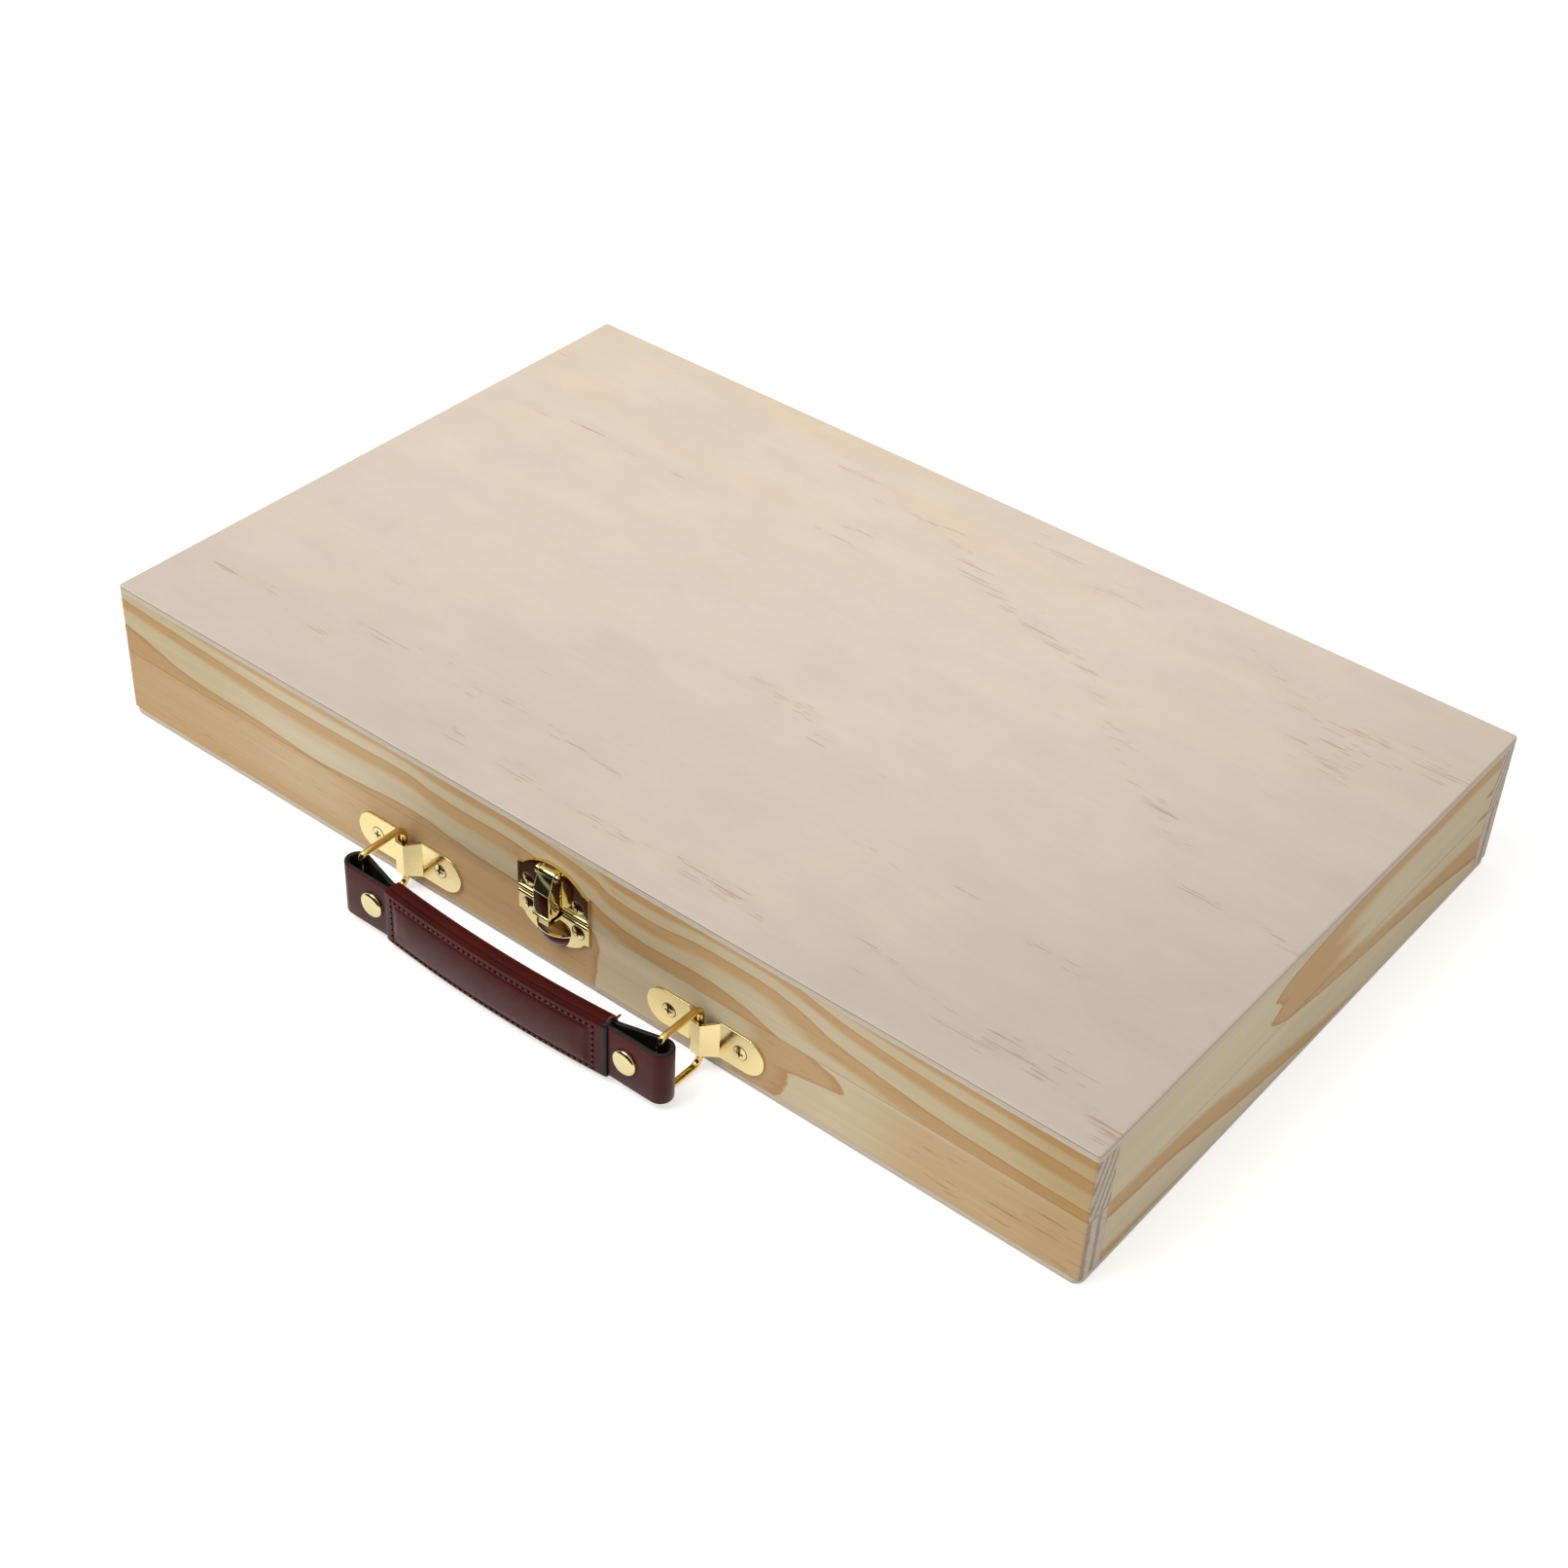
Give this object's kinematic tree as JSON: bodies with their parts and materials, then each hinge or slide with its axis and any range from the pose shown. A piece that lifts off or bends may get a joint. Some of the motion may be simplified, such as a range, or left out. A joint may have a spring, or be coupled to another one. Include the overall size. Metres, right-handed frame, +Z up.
{
  "type": "art supply box",
  "caption": "Flat wooden art supply box of pine boards and thin plywood, with a hinged lid, a brass hasp clasp and a stitched leather handle on wire rings.",
  "frame": {"origin": "middle of the underside of the base", "axes": "+X along the long side, +Z up towards the lid, -Y towards the clasp and handle"},
  "size_m": [0.37, 0.2618, 0.05],
  "materials": {
    "plywood": "sanded, thin clear coat",
    "pine": "sanded, thin clear coat",
    "divider_wood": "sanded",
    "brass": "polished",
    "leather": "smooth, slightly glossy, dark stitching",
    "stiffener": "plain leather board"
  },
  "bodies": {
    "base": {"base_bottom_panel": "plywood", "base_front_wall": "pine", "base_rear_wall": "pine", "base_left_wall": "pine", "base_right_wall": "pine", "long_divider": "divider_wood", "cross_divider_1": "divider_wood", "cross_divider_2": "divider_wood", "bracket_left": "brass", "bracket_right": "brass", "bracket_screws": "brass", "latch_lower_plate": "brass", "latch_lower_screws": "brass", "hinge_left_base_leaf": "brass", "hinge_right_base_leaf": "brass", "hinge_left_pin": "brass", "hinge_right_pin": "brass", "hinge_base_screws": "brass"},
    "lid": {"lid_top_panel": "plywood", "lid_front_wall": "pine", "lid_rear_wall": "pine", "lid_left_wall": "pine", "lid_right_wall": "pine", "latch_top_plate": "brass", "latch_pin": "brass", "latch_top_screws": "brass", "hinge_left_lid_leaf": "brass", "hinge_right_lid_leaf": "brass", "hinge_lid_screws": "brass"},
    "hasp": {"latch_hasp": "brass"},
    "ring_left": {"ring_left": "brass"},
    "ring_right": {"ring_right": "brass"},
    "handle": {"handle_strap": "leather", "handle_core": "stiffener", "handle_sleeve": "leather", "handle_rivet_left": "brass", "handle_rivet_right": "brass"}
  },
  "joints": [
    {"name": "lid_hinge", "type": "hinge", "parent": "base", "child": "lid", "pos_m": [0, 0.1172, 0.0251], "axis": [-1, 0, 0], "range_deg": [0, 180]},
    {"name": "hasp_hinge", "type": "hinge", "parent": "lid", "child": "hasp", "pos_m": [0.0009, -0.1177, 0.0387], "axis": [-1, 0, 0], "range_deg": [0, 110]},
    {"name": "ring_left_swing", "type": "hinge", "parent": "base", "child": "ring_left", "pos_m": [-0.058, -0.11765, 0.0121], "axis": [0, 0, 1], "range_deg": [-60, 60]},
    {"name": "handle_swing", "type": "hinge", "parent": "ring_left", "child": "handle", "pos_m": [-0.058, -0.135, 0.0121], "axis": [0, 0, 1], "range_deg": [-60, 60]},
    {"name": "ring_right_swing", "type": "hinge", "parent": "base", "child": "ring_right", "pos_m": [0.058, -0.11765, 0.0121], "axis": [0, 0, 1], "range_deg": [-60, 60]}
  ],
  "couplings": [
    {"joint": "handle_swing", "follows": "ring_left_swing", "ratio": -1},
    {"joint": "ring_right_swing", "follows": "ring_left_swing", "ratio": 1}
  ]
}
